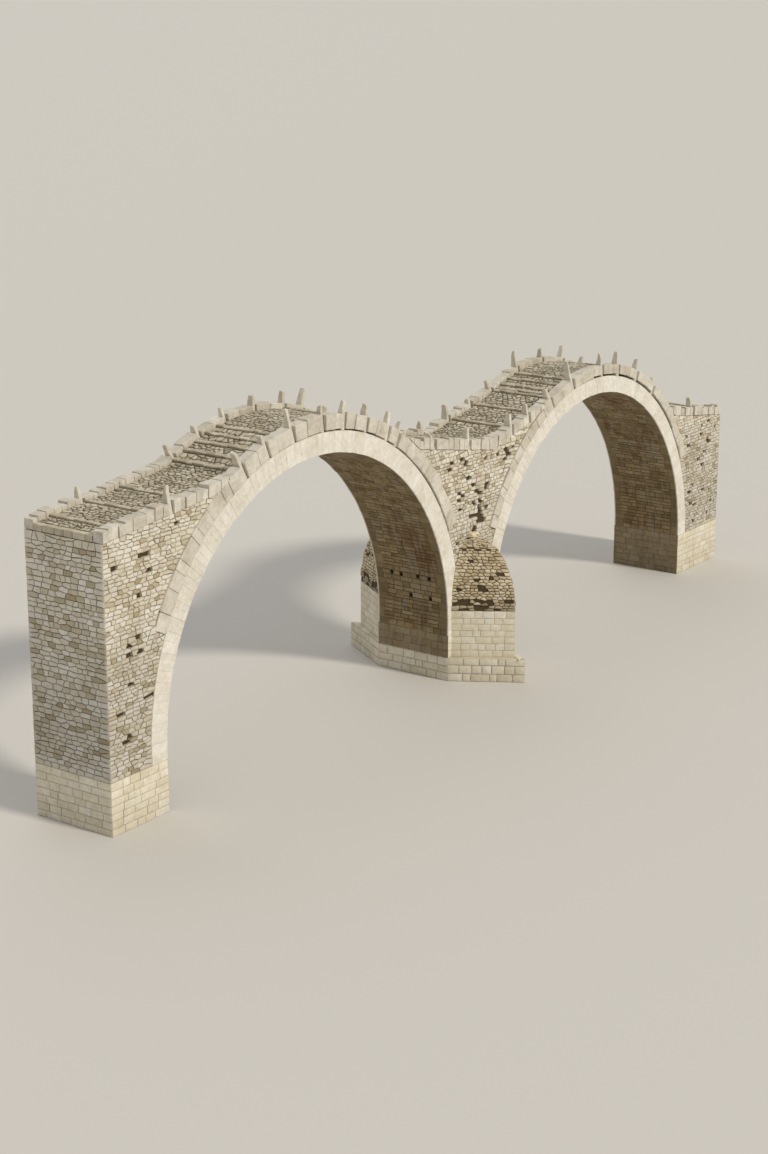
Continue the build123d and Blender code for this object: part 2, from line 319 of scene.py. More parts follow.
def eased(outline, shortest=0.022, longest=0.14, wander=0.006):
    """An outline without its tiny sides, and with its long sides bent a little."""
    kept = []
    for point in outline:
        if not kept or math.dist(point, kept[-1]) > shortest:
            kept.append(point)
    if len(kept) > 3 and math.dist(kept[0], kept[-1]) < shortest:
        kept.pop()
    bent = []
    for a, b in sides(kept):
        bent.append(a)
        gap = math.dist(a, b)
        if gap > longest:
            share = between(0.35, 0.65)
            inwards = between(-0.3, 1) * wander / gap
            bent.append((a[0] + share * (b[0] - a[0]) - inwards * (b[1] - a[1]),
                         a[1] + share * (b[1] - a[1]) + inwards * (b[0] - a[0])))
    return bent


def area(outline):
    """The area of an outline."""
    return sum(a[0] * b[1] - b[0] * a[1] for a, b in sides(outline)) / 2


def rubble(region, length, height, squareness=1.3, looseness=0.25, joint=0.016, margin=0.4,
           gone=lambda u, v: 0, **easing):
    """Outlines of fitted stones in rough courses that fill a region, and the full cells they lie in.

    gone says what share of them is missing at a point. None is that lies within the margin of the border.
    """
    seeds = []
    v = region[:, 1::2].min() + height * between(0.3, 0.6)
    while v < region[:, 1::2].max():
        u = region[:, ::2].min() + length * between(0, 1)
        while u < region[:, ::2].max():
            seed = (u, v + height * looseness * between(-1, 1))
            if inside(region, *seed):
                nearest, limits = borders(region, *seed, 1.5 * length)
                if nearest > 0.2 * height:
                    seeds.append((seed, limits, nearest > margin))
            u += length * between(0.5, 1.5)
        v += height * between(0.75, 1.3)
    tree = KDTree(len(seeds))
    for index, ((u, v), limits, inner) in enumerate(seeds):
        tree.insert((u / squareness, v, 0), index)
    tree.balance()
    stones = []
    cells = []
    reach = 1.6 * length
    for (u, v), limits, inner in seeds:
        fallen = draw.random() < gone(u, v) and inner
        outlines = []
        for gap in (joint / 2, 0.0):
            outline = rectangle(u - reach, u + reach, v - reach, v + reach)
            for place, index, distance in tree.find_n((u / squareness, v, 0), NEIGHBOURS)[1:]:
                other = seeds[index][0]
                along = (other[0] - u) / squareness ** 2
                up = other[1] - v
                size = math.hypot(along, up)
                middle = (along * (other[0] + u) + up * (other[1] + v)) / 2
                outline = clipped(outline, along / size, up / size, middle / size - gap)
            for along, up, limit in limits:
                outline = clipped(outline, along, up, limit - gap)
            outlines.append(outline)
        if fallen or len(outlines[0]) < 3 or area(outlines[0]) < LEAST_AREA * length * height:
            continue
        stone = eased(outlines[0], **easing)
        if len(stone) > 2:
            stones.append(stone)
            cells.append(outlines[1])
    return stones, cells


def squared(u_low, u_high, v_low, v_high, joint):
    """The outline of a squared stone that is a little out of true."""
    half = joint / 2
    corners = [(u + half * between(-0.5, 0.5), v + half * between(-0.5, 0.5))
               for u, v in rectangle(u_low + half, u_high - half, v_low + half, v_high - half)]
    return eased(corners, wander=0.5 * joint)


def placed(outlines, place, eye):
    """Outlines put on their surface, each with a point from which that surface is seen."""
    return [([np.array(place(u, v)) for u, v in outline], np.array(eye)) for outline in outlines]


def faced(corners, z_low, z_high, height, length, joint=0.01):
    """Squared stones in level courses on the upright faces to the right of the way along a plan."""
    stones = []
    for a, b in pairs([np.array(corner) for corner in corners]):
        span = np.linalg.norm(b - a)
        way = (b - a) / span
        outlines = []
        for bottom, top in pairs(cuts(z_low, z_high, height, looseness=0.12)):
            for left, right in pairs(cuts(-CORNER, span + CORNER, length * between(0.75, 1.25))):
                outlines.append(squared(left, right, bottom, top, joint))
        eye = (a[0] + FAR_OFF * way[1], a[1] - FAR_OFF * way[0], z_low)
        stones += placed(outlines, lambda u, v: (*(a + u * way), v), eye)
    return [stone for stone in stones if not covered(*stone)]


# Meshes of outlines and blocks

def outline_mesh(stones):
    """A face for each outline. Each corner holds its way in, which the arrises follow."""
    points = []
    inward = []
    faces = []
    for corners, eye in stones:
        normal = sum(np.cross(a, b) for a, b in sides(corners))
        if normal @ (eye - corners[0]) < 0:
            corners = corners[::-1]
            normal = -normal
        doubled_area = np.linalg.norm(normal)
        edges = [b - a for a, b in sides(corners)]
        ways = [np.cross(normal, edge) / (doubled_area * max(np.linalg.norm(edge), 1e-9)) for edge in edges]
        slim = min(1, doubled_area / sum(np.linalg.norm(edge) for edge in edges) / (2 * SLIM))
        faces.append(list(range(len(points), len(points) + len(corners))))
        points += corners
        for before, after in zip(ways[-1:] + ways[:-1], ways):
            inward.append(slim * (before + after) / max(1 + before @ after, 0.5))
    mesh = bpy.data.meshes.new("outlines")
    mesh.from_pydata(points, [], faces)
    attribute = mesh.attributes.new("inward", "FLOAT_VECTOR", "POINT")
    attribute.data.foreach_set("vector", np.array(inward, np.float32).ravel())
    return mesh


def brick(place, u_span, v_span, w_span, loose=0.0):
    """A block's levels between limits in its surface's three directions, each corner a little off."""
    return [[place(*(value + loose * between(-1, 1) for value in (u, v, w)))
             for u, v in rectangle(*u_span, *v_span)] for w in w_span]


def block_mesh(blocks):
    """Blocks of two or more levels of four corners each, with their faces outwards."""
    points = []
    faces = []
    for block in blocks:
        bottom, top = np.array(block[0]), np.array(block[-1])
        inside_out = np.cross(bottom[1] - bottom[0], bottom[2] - bottom[0]) @ (top[0] - bottom[0]) < 0
        last = 4 * (len(block) - 1)
        around = [(3, 2, 1, 0), (last, last + 1, last + 2, last + 3)]
        for level in range(0, last, 4):
            for a, b in sides([0, 1, 2, 3]):
                around.append((level + a, level + b, level + b + 4, level + a + 4))
        for corners in around:
            numbers = [len(points) + index for index in corners]
            faces.append(numbers[::-1] if inside_out else numbers)
        points += [corner for level in block for corner in level]
    mesh = bpy.data.meshes.new("blocks")
    mesh.from_pydata(points, [], faces)
    return mesh


def set_up(thing, **settings):
    """The same thing with its settings."""
    for name, value in settings.items():
        setattr(thing, name, value)
    return thing


def add(tree, kind, inputs=None, **settings):
    """One node with its settings and its inputs. A node given for one stands for its first output."""
    node = set_up(tree.nodes.new(kind), **settings)
    for key, value in (inputs or {}).items():
        if isinstance(value, bpy.types.Node):
            value = value.outputs[0]
        if isinstance(value, bpy.types.NodeSocket):
            tree.links.new(value, node.inputs[key])
        else:
            node.inputs[key].default_value = value
    return node


def new_tree(name, *sizes):
    """An empty tree with named inputs for its sizes, its roughness, a seed and a material."""
    tree = bpy.data.node_groups.new(name, "GeometryNodeTree")
    floats = dict.fromkeys((*sizes, "Roughness", "Roughness Scale"), "Float")
    kinds = {"Geometry": "Geometry", **floats, "Seed": "Int", "Material": "Material"}
    for socket, kind in kinds.items():
        tree.interface.new_socket(socket, in_out="INPUT", socket_type="NodeSocket" + kind)
    tree.interface.new_socket("Geometry", in_out="OUTPUT", socket_type="NodeSocketGeometry")
    return tree, add(tree, "NodeGroupInput").outputs


def shaded_apart(tree, given, mesh, lift, identity):
    """A mesh with two chances for a face's shade, and with how far up its stone each point lies."""
    for shift, name in enumerate(("tone", "tint")):
        seed = add(tree, "ShaderNodeMath", {0: given["Seed"], 1: float(shift)}, operation="ADD")
        chance = add(tree, "FunctionNodeRandomValue", {"Seed": seed, **identity})
        mesh = add(tree, "GeometryNodeStoreNamedAttribute", {"Geometry": mesh, "Name": name,
                   "Value": chance.outputs[1]}, domain="FACE")
    return add(tree, "GeometryNodeStoreNamedAttribute", {"Geometry": mesh, "Name": "lift", "Value": lift})


def shifted(tree, mesh, way, distance, **where):
    """A mesh with points moved in a direction, which is scaled by a distance."""
    offset = add(tree, "ShaderNodeVectorMath", {0: way, "Scale": distance}, operation="SCALE")
    return add(tree, "GeometryNodeSetPosition", {"Geometry": mesh, "Offset": offset, **where})


def raised(tree, given, mesh, change):
    """Faces sunk in their bed and raised to their changed height, and the faces that close them below."""
    normal = add(tree, "GeometryNodeInputNormal")
    down = add(tree, "ShaderNodeMath", {0: given["Sink"], 1: -1.0}, operation="MULTIPLY")
    sunk = shifted(tree, mesh, normal, down)
    base = add(tree, "GeometryNodeFlipFaces", {"Mesh": sunk})
    full = add(tree, "ShaderNodeMath", {0: given["Stand"], 1: given["Sink"]}, operation="ADD")
    height = add(tree, "ShaderNodeMath", {0: full, 1: change}, operation="ADD")
    body = add(tree, "GeometryNodeExtrudeMesh", {"Mesh": sunk, "Offset Scale": height})
    return body.outputs, base


def closed(tree, mesh, base):
    """Raised faces joined with the faces below them."""
    whole = add(tree, "GeometryNodeJoinGeometry", {"Geometry": mesh})
    tree.links.new(base.outputs[0], whole.inputs[0])
    return add(tree, "GeometryNodeMergeByDistance", {"Geometry": whole, "Distance": 0.0001})


def finished(tree, given, mesh):
    """The end of each tree: rough faces that meet in sharp edges, real geometry and the material."""
    noise = add(tree, "ShaderNodeTexNoise", {"Scale": given["Roughness Scale"]})
    centred = add(tree, "ShaderNodeVectorMath", {0: noise.outputs["Color"], 1: (0.5, 0.5, 0.5)},
                  operation="SUBTRACT")
    rough = shifted(tree, mesh, centred, given["Roughness"])
    smooth = add(tree, "GeometryNodeSetShadeSmooth", {"Geometry": rough})
    angle = add(tree, "GeometryNodeInputMeshEdgeAngle")
    sharp = add(tree, "ShaderNodeMath", {0: angle, 1: SHARP_ANGLE}, operation="GREATER_THAN")
    shaded = add(tree, "GeometryNodeSetShadeSmooth", {"Geometry": smooth, "Selection": sharp,
                 "Shade Smooth": False}, domain="EDGE")
    real = add(tree, "GeometryNodeRealizeInstances", {"Geometry": shaded})
    painted = add(tree, "GeometryNodeSetMaterial", {"Geometry": real, "Material": given["Material"]})
    add(tree, "NodeGroupOutput", {"Geometry": painted})
    return tree


def stone_laying_tree():
    """Makes each outline a stone: sunk in its bed, raised to its face, with a worn arris and a crown."""
    tree, given = new_tree("Lay stones", "Sink", "Stand", "Unevenness", "Arris", "Crown")
    mesh = shaded_apart(tree, given, given["Geometry"], 0.0, {})
    tint = add(tree, "GeometryNodeInputNamedAttribute", {"Name": "tint"})
    uneven = add(tree, "ShaderNodeMath", {0: tint, 1: given["Unevenness"]}, operation="MULTIPLY")
    body, base = raised(tree, given, mesh, uneven)
    mesh, top = body["Mesh"], body["Top"]
    inward = add(tree, "GeometryNodeInputNamedAttribute", {"Name": "inward"}, data_type="FLOAT_VECTOR")
    for rise, width, lift in (("Arris", 1.0, 0.75), ("Crown", 2.0, 1.0)):
        ring = add(tree, "GeometryNodeExtrudeMesh", {"Mesh": mesh, "Selection": top,
                   "Offset Scale": given[rise]})
        mesh, top = ring.outputs["Mesh"], ring.outputs["Top"]
        reach = add(tree, "ShaderNodeMath", {0: given["Arris"], 1: width}, operation="MULTIPLY")
        mesh = shifted(tree, mesh, inward, reach, Selection=top)
        mesh = add(tree, "GeometryNodeStoreNamedAttribute", {"Geometry": mesh, "Selection": top,
                   "Name": "lift", "Value": lift})
    return finished(tree, given, closed(tree, mesh, base))


def joint_filling_tree():
    """Raises each cell to the level of the mortar, which is washed out here and there."""
    tree, given = new_tree("Fill joints", "Sink", "Stand", "Washout")
    chance = add(tree, "FunctionNodeRandomValue", {"Seed": given["Seed"]})
    rarer = add(tree, "ShaderNodeMath", {0: chance.outputs[1], 1: 3.0}, operation="POWER")
    lost = add(tree, "ShaderNodeMath", {0: rarer, 1: given["Washout"]}, operation="MULTIPLY")
    lower = add(tree, "ShaderNodeMath", {0: lost, 1: -1.0}, operation="MULTIPLY")
    body, base = raised(tree, given, given["Geometry"], lower)
    return finished(tree, given, closed(tree, body["Mesh"], base))


def block_weathering_tree():
    """Gives each block its own shade and roughens its faces."""
    tree, given = new_tree("Weather blocks")
    block = add(tree, "GeometryNodeInputMeshIsland")
    return finished(tree, given, shaded_apart(tree, given, given["Geometry"], 1.0, {"ID": block}))


LAYING = stone_laying_tree()
FILLING = joint_filling_tree()
WEATHERING = block_weathering_tree()


def new_object(name, data):
    """An object in the scene."""
    made = bpy.data.objects.new(name, data)
    bpy.context.scene.collection.objects.link(made)
    return made


def plain_mesh(carrier):
    """The mesh that an object's modifiers make, without the object."""
    graph = bpy.context.evaluated_depsgraph_get()
    mesh = bpy.data.meshes.new_from_object(carrier.evaluated_get(graph), preserve_all_data_layers=True,
                                           depsgraph=graph)
    bpy.data.objects.remove(carrier)
    return mesh


def piece_of(name, mesh, replaced=()):
    """A mesh as a piece of the bridge."""
    mesh.name = name
    piece = new_object(name, mesh)
    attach(piece, "root")
    if replaced:
        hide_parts(*replaced)


def grown(mesh, tree, material, sizes, worn=0.0):
    """The plain mesh that a tree makes of a mesh, whose edges are worn first."""
    sizes = sizes | {"seed": draw.randrange(1000), "material": material}
    carrier = new_object("carrier", mesh)
    if worn:
        set_up(carrier.modifiers.new("finer", "SUBSURF"), subdivision_type="SIMPLE", levels=1)
        set_up(carrier.modifiers.new("arris", "BEVEL"), width=worn, limit_method="ANGLE",
               angle_limit=SHARP_ANGLE)
    modifier = set_up(carrier.modifiers.new(tree.name, "NODES"), node_group=tree)
    for socket in tree.interface.items_tree:
        key = socket.name.lower().replace(" ", "_")
        if socket.in_out == "INPUT" and key in sizes:
            modifier[socket.identifier] = sizes[key]
    return plain_mesh(carrier)


def lay(name, stones, slot, material, **sizes):
    """Stones laid on a surface that shows in their joints."""
    usual = dict(sink=0.03, stand=0.008, unevenness=0.01, arris=0.006, crown=0.003, roughness=0.014,
                 roughness_scale=9.0)
    piece_of(name, grown(outline_mesh(stones), LAYING, material, usual | sizes))


def build_up(name, blocks, slot, material, replaced=(), worn=0.016, **sizes):
    """Separate weathered blocks."""
    usual = dict(roughness=0.026, roughness_scale=6.0)
    piece_of(name, grown(block_mesh(blocks), WEATHERING, material, usual | sizes, worn), replaced)


def merged_copy(node, material):
    """A copy of a node's mesh with its corners merged."""
    shape = bmesh.new()
    shape.from_mesh(NODES[node].data)
    bmesh.ops.remove_doubles(shape, verts=shape.verts, dist=0.00001)
    mesh = bpy.data.meshes.new(node)
    shape.to_mesh(mesh)
    shape.free()
    mesh.materials.append(material)
    return mesh


# Materials

# Sizes of the blotches, the trails of running water and the pits that show in the stone
BLOTCH = 0.15
TRAIL = 0.17
PIT = 0.046


def linear(colour):
    """The linear colour of an sRGB hex value."""
    channels = [int(colour[index:index + 2], 16) / 255 for index in (1, 3, 5)]
    return [c / 12.92 if c <= 0.04045 else ((c + 0.055) / 1.055) ** 2.4 for c in channels] + [1.0]


def stained(tree, stone, stain, pattern, none_at, most_at, most, blend="MIX"):
    """A stain laid over a stone's colour where a pattern says so, from none of it to the most."""
    cover = add(tree, "ShaderNodeMapRange", {"Value": pattern, "From Min": none_at, "From Max": most_at,
                "To Max": most})
    return add(tree, "ShaderNodeMix", {0: cover, 6: stone, 7: stain}, data_type="RGBA",
               blend_type=blend).outputs[2]


def stonework(name, shades, grime, share, patch=0.9, grain=0.028, pits=0.5, bump=0.5, laid=True, edge=0.5,
              foot=None, stain_and_shade_under_arch=None, streaks=None):
    """Weathered stone: a shade for each stone, grime in patches, and a grained and pitted face.

    patch and grain are sizes, share is how much grime covers, and edge is how much darker the sides and
    arrises of laid stones are, as dirt and painted shade in their joints. foot is two heights between which
    the stone clears and how dark it is below. Under the arch the stone takes a further colour given for it,
    brown stain and painted shade together, and streaks is the shade of the trails. A stone that isn't laid
    has its shades in patches instead.
    """
    material = set_up(bpy.data.materials.new(name), use_nodes=True)
    tree = material.node_tree
    tree.nodes.clear()
    place = add(tree, "ShaderNodeTexCoord").outputs["Object"]
    axes = add(tree, "ShaderNodeSeparateXYZ", {0: place}).outputs
    tone, tint, lift = [add(tree, "ShaderNodeAttribute", attribute_name=key).outputs["Fac"]
                        for key in ("tone", "tint", "lift")]
    sorts = ((patch, 6.0, 0.62), (grain, 5.0, 0.6), (BLOTCH, 3.0, 0.5))
    broad, fine, blotch = [add(tree, "ShaderNodeTexNoise", {"Vector": place, "Scale": 1 / size,
                               "Detail": detail, "Roughness": mix}) for size, detail, mix in sorts]
    ramp = add(tree, "ShaderNodeValToRGB", {"Fac": tone if laid else broad})
    stops = ramp.color_ramp.elements
    while len(stops) < len(shades):
        stops.new(0.5)
    for index, shade in enumerate(shades):
        stops[index].position = index / (len(shades) - 1)
        stops[index].color = linear(shade)
    colour = stained(tree, ramp, linear(grime), broad, 0.46, 0.68, share)
    if streaks:
        drawn = add(tree, "ShaderNodeVectorMath", {0: place, 1: (0.14, 1.0, 0.14)}, operation="MULTIPLY")
        trails = add(tree, "ShaderNodeTexNoise", {"Vector": drawn, "Scale": 1 / TRAIL, "Detail": 4.0})
        colour = stained(tree, colour, linear(streaks), trails, 0.5, 0.64, 0.6)
    # Painted shade with stain: under the arch the colour is multiplied by a brown that stands for the stain
    # and the shade there together.
    if stain_and_shade_under_arch:
        across = add(tree, "ShaderNodeMath", {0: axes["Y"]}, operation="ABSOLUTE")
        depth = add(tree, "ShaderNodeMapRange", {"Value": tint, "To Min": 0.7, "To Max": 1.15})
        brown = add(tree, "ShaderNodeVectorMath", {0: linear(stain_and_shade_under_arch)[:3], "Scale": depth},
                    operation="SCALE")
        colour = stained(tree, colour, brown, across, HALF_WIDTH - 0.005, HALF_WIDTH - 0.06, 1.0,
                         "MULTIPLY")
    pores = add(tree, "ShaderNodeTexVoronoi", {"Vector": place, "Scale": 1 / PIT})
    # What darkens the stone, each with two of its values and how light the stone is at both
    layers = [(pores, 0.1, 0.24, 1 - pits, 1.0), (fine, 0.25, 0.75, 0.86, 1.06),
              (blotch, 0.3, 0.7, 0.88, 1.04)]
    # Painted shade with dirt: the sides and arrises of laid stones are darker, as the shade and dirt in
    # their joints.
    if laid:
        layers.append((lift, 0.2, 1.0, 1 - edge, 1.0))
    if foot:
        layers.append((axes["Z"], *foot[:2], 1 - foot[2], 1.0))
    shadings = [add(tree, "ShaderNodeMapRange", {"Value": value, "From Min": first, "From Max": last,
                    "To Min": dark, "To Max": light}) for value, first, last, dark, light in layers]
    shading = shadings[0]
    for layer in shadings[1:]:
        shading = add(tree, "ShaderNodeMath", {0: shading, 1: layer}, operation="MULTIPLY")
    shaded = add(tree, "ShaderNodeVectorMath", {0: colour, "Scale": shading}, operation="SCALE")
    relief = add(tree, "ShaderNodeMath", {0: fine, 1: shadings[0]}, operation="MULTIPLY")
    relief = add(tree, "ShaderNodeMath", {0: relief, 1: blotch}, operation="ADD")
    surface = add(tree, "ShaderNodeBump", {"Strength": bump, "Distance": 0.012, "Height": relief})
    dry = add(tree, "ShaderNodeMapRange", {"Value": fine, "To Min": 0.82, "To Max": 0.96})
    shader = add(tree, "ShaderNodeBsdfPrincipled", {"Base Color": shaded, "Roughness": dry,
                 "Normal": surface})
    add(tree, "ShaderNodeOutputMaterial", {"Surface": shader})
    return material


# Dressed limestone, rubbed flat: nearly white and even in the sun, and brown where it turns inwards under
# the arch, from stain and painted shade.
RING_STONE = stonework("dressed_limestone", ("#e6e1d6", "#efebe1", "#f1eee6", "#e9e4d9", "#ece8dd"),
                       "#cfc6b2", 0.4, patch=0.7, pits=0.12, bump=0.2, stain_and_shade_under_arch="#938364")
# Hammer-dressed limestone of the hood and kerbs: pale grey, with lichen in patches and darker joints.
HOOD_STONE = stonework("hammered_limestone", ("#d1cabb", "#e3ded2", "#dad4c7", "#e9e5da", "#d0c9bb"),
                       "#a0957f", 0.45, patch=0.52, pits=0.3, bump=0.6)
# Split limestone slabs: thin, rough and bleached, grey where the split face holds lichen.
SLAB_STONE = stonework("split_limestone", ("#d3ccbd", "#e6e1d3", "#dcd5c5", "#ece7da"), "#a0947a", 0.35,
                       patch=0.35, pits=0.3, bump=0.7)
# Random limestone rubble: pale stones, a few buff or brown, darker low down where damp rises.
WALL_STONE = stonework("limestone_rubble", ("#b5a686", "#e6dfcd", "#efeade", "#e0d7c2", "#f3efe6",
                       "#d6cbb2"), "#a3916d", 0.38, patch=1.5, pits=0.45, bump=0.6, edge=0.3,
                       foot=(3.4, 7.4, 0.22))
# Limestone in permanent shade: brown with damp and darkened further with painted shade, rusty in patches,
# with grey trails where water ran down.
VAULT_STONE = stonework("damp_limestone", ("#71603f", "#8f7c58", "#9d8a65", "#806c49", "#a89773"),
                        "#6b4722", 0.75, patch=1.5, pits=0.4, edge=0.4, streaks="#948b78")
# The same stone low down under the arches, as a darker copy with painted shade: greyer, and dark where the
# river wets it.
SHADED_STONE = stonework("river_stained_limestone", ("#8b7a5c", "#a39273", "#978566", "#ae9e80"), "#6f5a3a",
                         0.5, patch=1.0, pits=0.4, edge=0.35, foot=(0.4, 2.0, 0.25), streaks="#a0977f")
# Smooth coursed limestone washed by the river: warm cream, with a darker foot and faint joints.
BASE_STONE = stonework("river_washed_limestone", ("#e2d9c1", "#efe8d5", "#e9e1cb", "#f3eee0"), "#cbbf9f",
                       0.35, pits=0.22, bump=0.35, edge=0.22, foot=(0.0, 1.6, 0.14))
# Buff limestone rubble of the cutwater caps: weathered and hollow, darkest along the eave.
CAP_STONE = stonework("buff_limestone_rubble", ("#b8a27c", "#e9dcc0", "#d5c39d", "#eee3cb", "#c8b48d"),
                      "#8e7448", 0.45, patch=0.42, bump=0.8, edge=0.4, foot=(2.7, 3.2, 0.42))
# River cobbles: grey-brown, worn smooth on top, and darker between from dirt and painted shade on their
# sides.
COBBLE = stonework("river_cobble", ("#a99e87", "#cbc1aa", "#dcd3be", "#bab098", "#e6decb"), "#857b5a", 0.36,
                   patch=1.2, pits=0.3, edge=0.6)
# Rough limestone rows that stop feet from slipping: of the same stone, set on edge and cleaner.
ROW_STONE = stonework("rough_limestone", ("#b1a790", "#d4cbb6", "#c4baa4", "#ddd4c1"), "#887c5c", 0.4,
                      patch=0.7)
# Old lime mortar: sandy and matt, nearly as pale as the stones.
MORTAR = stonework("lime_mortar", ("#cfc5ad", "#e0d8c4", "#d6cdb8"), "#9f9173", 0.45, patch=0.6,
                   grain=0.012, bump=0.8, laid=False)
# Pale mortar in the joints of the rings: nearly the colour of the stone, and brown under the arch from
# stain and painted shade.
RING_MORTAR = stonework("pale_lime_mortar", ("#cfc6b1", "#dbd3c1"), "#a99d82", 0.4, grain=0.012, bump=0.6,
                        laid=False, stain_and_shade_under_arch="#5f4e33")
# Damp mortar in the shade of the arches: dark brown, with damp and with painted shade.
VAULT_MORTAR = stonework("damp_lime_mortar", ("#4e4029", "#64543a"), "#3c2f1b", 0.5, grain=0.012, bump=0.8,
                         laid=False)
# Earth and grit trodden into the joints of the paving: dark from the earth, and darker as painted shade in
# the gaps beside the step rows.
GRIT = stonework("trodden_grit", ("#5a4f3d", "#70644d"), "#4a4830", 0.5, grain=0.008, bump=0.9, laid=False)
# The rubble core seen where a face stone is gone, painted dark for the shade inside the hollows.
CORE = stonework("rubble_core", ("#453822", "#5c4c32"), "#2e2415", 0.5, patch=0.4, bump=0.9, laid=False)

BED_OF_SLOT = {
    "arch_stone": RING_MORTAR, "vault_stone": VAULT_MORTAR, "base_stone": MORTAR, "cap_rubble": CORE,
    "spandrel_rubble": MORTAR, "cobble_paving": GRIT, "rubble_core": CORE, "hood_stone": HOOD_STONE,
    "kerb_stone": HOOD_STONE, "upright_stone": SLAB_STONE, "step_stone": ROW_STONE,
}
for part in frame["record"]["subparts"]:
    slots = NODES[part["node"]].data.materials
    slots.clear()
    slots.append(BED_OF_SLOT[part["material_slot"]])


# Walls over the arches

def face_wall(node, side, loss):
    """Rubble and mortar in front of a wall's core, with some stones gone."""

    def gone(*place):
        near = [1 - math.dist(place, patch[:2]) / patch[2] for patch in WORN_PATCHES if side < 0]
        return loss + PATCH_LOSS * max([0, *near])

    outlines, cells = rubble(side_region(node, side), length=0.27, height=0.135, squareness=2.4,
                             looseness=0.15, joint=0.015, gone=gone, margin=0.25, shortest=0.045,
                             wander=0.012)
    eye = (0, side * FAR_OFF, 0)
    wall = lambda u, v: (u, side * HALF_WIDTH, v)
    both = zip(placed(outlines, wall, eye), placed(cells, wall, eye))
    stones, beds = zip(*[(stone, bed) for stone, bed in both if not covered(*stone)])
    lay(f"{node}_stones", stones, "spandrel_rubble", WALL_STONE, sink=POCKET_DEPTH, stand=-0.012,
        unevenness=0.02, arris=0.008, crown=0.004, roughness=0.02)
    sizes = dict(sink=POCKET_DEPTH, stand=-0.018, washout=0.055, roughness=0.016, roughness_scale=9.0)
    piece_of(f"{node}_mortar", grown(outline_mesh(beds), FILLING, MORTAR, sizes))
    # The core's face is set back to the bottom of the deepest hollows
    core = merged_copy(node, CORE)
    for vertex in core.vertices:
        if side * vertex.co.y > HALF_WIDTH - 0.001:
            vertex.co.y = side * (HALF_WIDTH - POCKET_DEPTH)
    piece_of(f"{node}_core", core, (node,))


for face, side in FACES:
    for reach, loss in LOSS.items():
        face_wall(f"{reach}_spandrel_{face}", side, loss)


# Rings of long dressed stones, and the vaults that are bonded into them

def ring_blocks(arch, face, side):
    """One long stone for each course, as deep as the ring, that returns under the arch."""
    blocks = []
    for (start, end), bond in zip(pairs(arch.courses), arch.returns[face]):
        outer = HALF_WIDTH + between(0.01, 0.016)
        top = arch.ring_depth - between(0.004, 0.03)
        blocks.append(brick(arch.place, (start + 0.002, end - 0.002), (between(-0.02, -0.008), top),
                            (side * (HALF_WIDTH - bond), side * outer), 0.0015))
    return blocks


def vault_stones(arch, holes):
    """Thin coursed stones between the rings, cut around the holes."""
    outlines = []
    for (start, end), front, back in zip(pairs(arch.courses), *arch.returns.values()):
        for bottom, top in pairs(cuts(start, end, 0.16, looseness=0.15)):
            left = front - HALF_WIDTH
            for y in sorted(y for y, run in holes if bottom < run < top) + [None]:
                right = HALF_WIDTH - back if y is None else y - PUTLOG_SIZE / 2
                if right - left > 0.05:
                    for a, b in pairs(cuts(left, right, 0.4)):
                        outlines.append(squared(bottom, top, a, b, 0.012))
                left = right + PUTLOG_SIZE
    return placed(outlines, lambda run, y: arch.place(run, 0, y), arch.eye)


def putlog_vault(node, holes):
    """A vault with scaffold holes cut into it."""
    half = PUTLOG_SIZE / 2
    cutter = [brick(MAIN.place, (run - half, run + half), (-0.1, PUTLOG_DEPTH), (y - half, y + half))
              for y, run in holes]
    tool = new_object("cutter", block_mesh(cutter))
    vault = new_object(node, merged_copy(node, VAULT_MORTAR))
    set_up(vault.modifiers.new("holes", "BOOLEAN"), operation="DIFFERENCE", solver="EXACT", object=tool)
    mesh = plain_mesh(vault)
    bpy.data.objects.remove(tool)
    piece_of(f"{node}_holed", mesh, (node,))


HOLES = [(y, MAIN.run(math.asin((z - MAIN.z) / MAIN.inner))) for y, z in PUTLOG_HOLES]
for arch in ARCHES:
    for face, side in FACES:
        build_up(f"{arch.name}_ring_{face}_stones", ring_blocks(arch, face, side), "arch_stone", RING_STONE,
                 worn=0.006, roughness=0.006, roughness_scale=5.0)
    holes = HOLES if arch is MAIN else []
    lay(f"{arch.name}_vault_stones", vault_stones(arch, holes), "vault_stone", VAULT_STONE)
putlog_vault("main_vault_right", HOLES)


# The second ring, the edge stones and the upright slabs between them

def hood_blocks(arch, face, side):
    """The blocks between the upright stones."""
    blocks = []
    size = 0.62 * arch.inner / (arch.inner + arch.hood_depth)
    spans = []
    for corners in islands(f"{arch.name}_hood_{face}"):
        runs = arch.run(np.arctan2(corners[:, 2] - arch.z, corners[:, 0] - arch.x))
        spans.append((runs.min(), runs.max()))
    first, last = np.min(spans), np.max(spans)
    for low_run, high_run in spans:
        low_run += OPEN_JOINT * (low_run > first)
        high_run -= OPEN_JOINT * (high_run < last)
        for start, end in pairs(cuts(low_run, high_run, size)):
            top = arch.hood_depth + between(-0.03, 0.03)
            outer = EDGE_FACE + between(-0.02, 0.014)
            past_crown = min(max((start + end - arch.length) / 2 + 1, 0), 1) * (end < last - 1)
            bottom = arch.ring_depth + OPEN_JOINT * between(0.6, 1.6) + SETTLED[arch.name] * past_crown
            blocks.append(brick(arch.place, (start + 0.004, end - 0.004), (bottom, top),
                                (side * (PAVED_HALF + 0.002), side * outer), 0.009))
    return blocks


